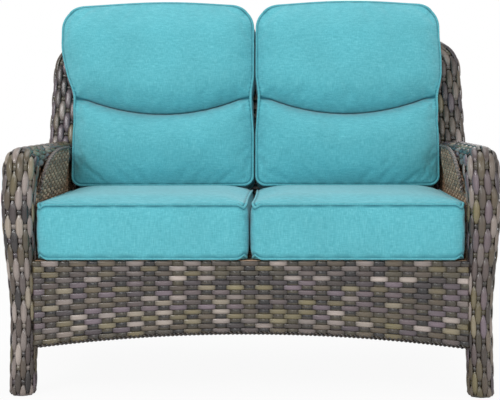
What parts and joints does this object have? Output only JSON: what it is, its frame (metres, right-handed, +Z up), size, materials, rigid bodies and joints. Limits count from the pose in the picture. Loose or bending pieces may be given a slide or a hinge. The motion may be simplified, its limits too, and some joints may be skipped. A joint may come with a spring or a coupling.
{
  "type": "patio loveseat",
  "caption": "Woven-resin patio loveseat with rolled arms, a reclined hooped back and loose piped seat and back cushions.",
  "frame": {"origin": "on the floor under the middle of the loveseat", "axes": "+X to the sitter's left as seen from the front (right in the picture), -Y out of the front, +Z up"},
  "size_m": [1.2702, 0.745, 1.0666],
  "materials": {
    "wicker": "satin",
    "fine_wicker": "satin",
    "powder_coated_steel": "satin",
    "zinc_steel": "satin",
    "black_plastic": "matte",
    "cushion_fabric": "matte",
    "piping_fabric": "matte",
    "foam": "matte",
    "zip": "satin"
  },
  "bodies": {
    "frame": {"arm_end_plates": "powder_coated_steel", "arm_rungs": "powder_coated_steel", "arm_seat_rails": "powder_coated_steel", "back_hoop_band": "wicker", "back_hoop_rungs": "powder_coated_steel", "back_inner_hoop": "powder_coated_steel", "back_lower_rail": "powder_coated_steel", "back_outer_hoop": "powder_coated_steel", "back_panel": "fine_wicker", "back_uprights": "powder_coated_steel", "bolt_caps": "black_plastic", "foot_glides": "black_plastic", "foot_plates": "powder_coated_steel", "front_apron": "wicker", "front_arch_rod": "powder_coated_steel", "left_arm_band": "wicker", "left_arm_inner_tube": "powder_coated_steel", "left_arm_outer_tube": "powder_coated_steel", "left_inner_panel": "fine_wicker", "left_outer_panel": "fine_wicker", "left_rear_leg_band": "wicker", "long_bolts": "zinc_steel", "lower_side_rails": "powder_coated_steel", "nuts": "zinc_steel", "post_plates": "powder_coated_steel", "post_sleeves": "powder_coated_steel", "rear_apron": "wicker", "rear_arch_rod": "powder_coated_steel", "right_arm_band": "wicker", "right_arm_inner_tube": "powder_coated_steel", "right_arm_outer_tube": "powder_coated_steel", "right_inner_panel": "fine_wicker", "right_outer_panel": "fine_wicker", "right_rear_leg_band": "wicker", "seat_cross_rails": "powder_coated_steel", "seat_deck": "fine_wicker", "seat_front_rail": "powder_coated_steel", "seat_rear_rail": "powder_coated_steel", "seat_side_rails": "powder_coated_steel", "short_bolts": "zinc_steel", "spacers": "black_plastic", "washers": "zinc_steel"},
    "left_back_cushion": {"left_back_cover": "cushion_fabric", "left_back_filling": "foam", "left_back_piping": "piping_fabric", "left_back_zip": "zip"},
    "left_seat_cushion": {"left_seat_cover": "cushion_fabric", "left_seat_foam": "foam", "left_seat_piping": "piping_fabric", "left_seat_zip": "zip"},
    "right_back_cushion": {"right_back_cover": "cushion_fabric", "right_back_filling": "foam", "right_back_piping": "piping_fabric", "right_back_zip": "zip"},
    "right_seat_cushion": {"right_seat_cover": "cushion_fabric", "right_seat_foam": "foam", "right_seat_piping": "piping_fabric", "right_seat_zip": "zip"}
  },
  "joints": [
    {"name": "right_seat_cushion_slide", "type": "slide", "parent": "frame", "child": "right_seat_cushion", "axis": [0, -1, 0], "range_m": [0, 0.56]},
    {"name": "left_seat_cushion_slide", "type": "slide", "parent": "frame", "child": "left_seat_cushion", "axis": [0, -1, 0], "range_m": [0, 0.56]},
    {"name": "right_back_cushion_lift", "type": "slide", "parent": "frame", "child": "right_back_cushion", "axis": [0, 0.2164, 0.9763], "range_m": [0, 0.5]},
    {"name": "left_back_cushion_lift", "type": "slide", "parent": "frame", "child": "left_back_cushion", "axis": [0, 0.2164, 0.9763], "range_m": [0, 0.5]}
  ]
}
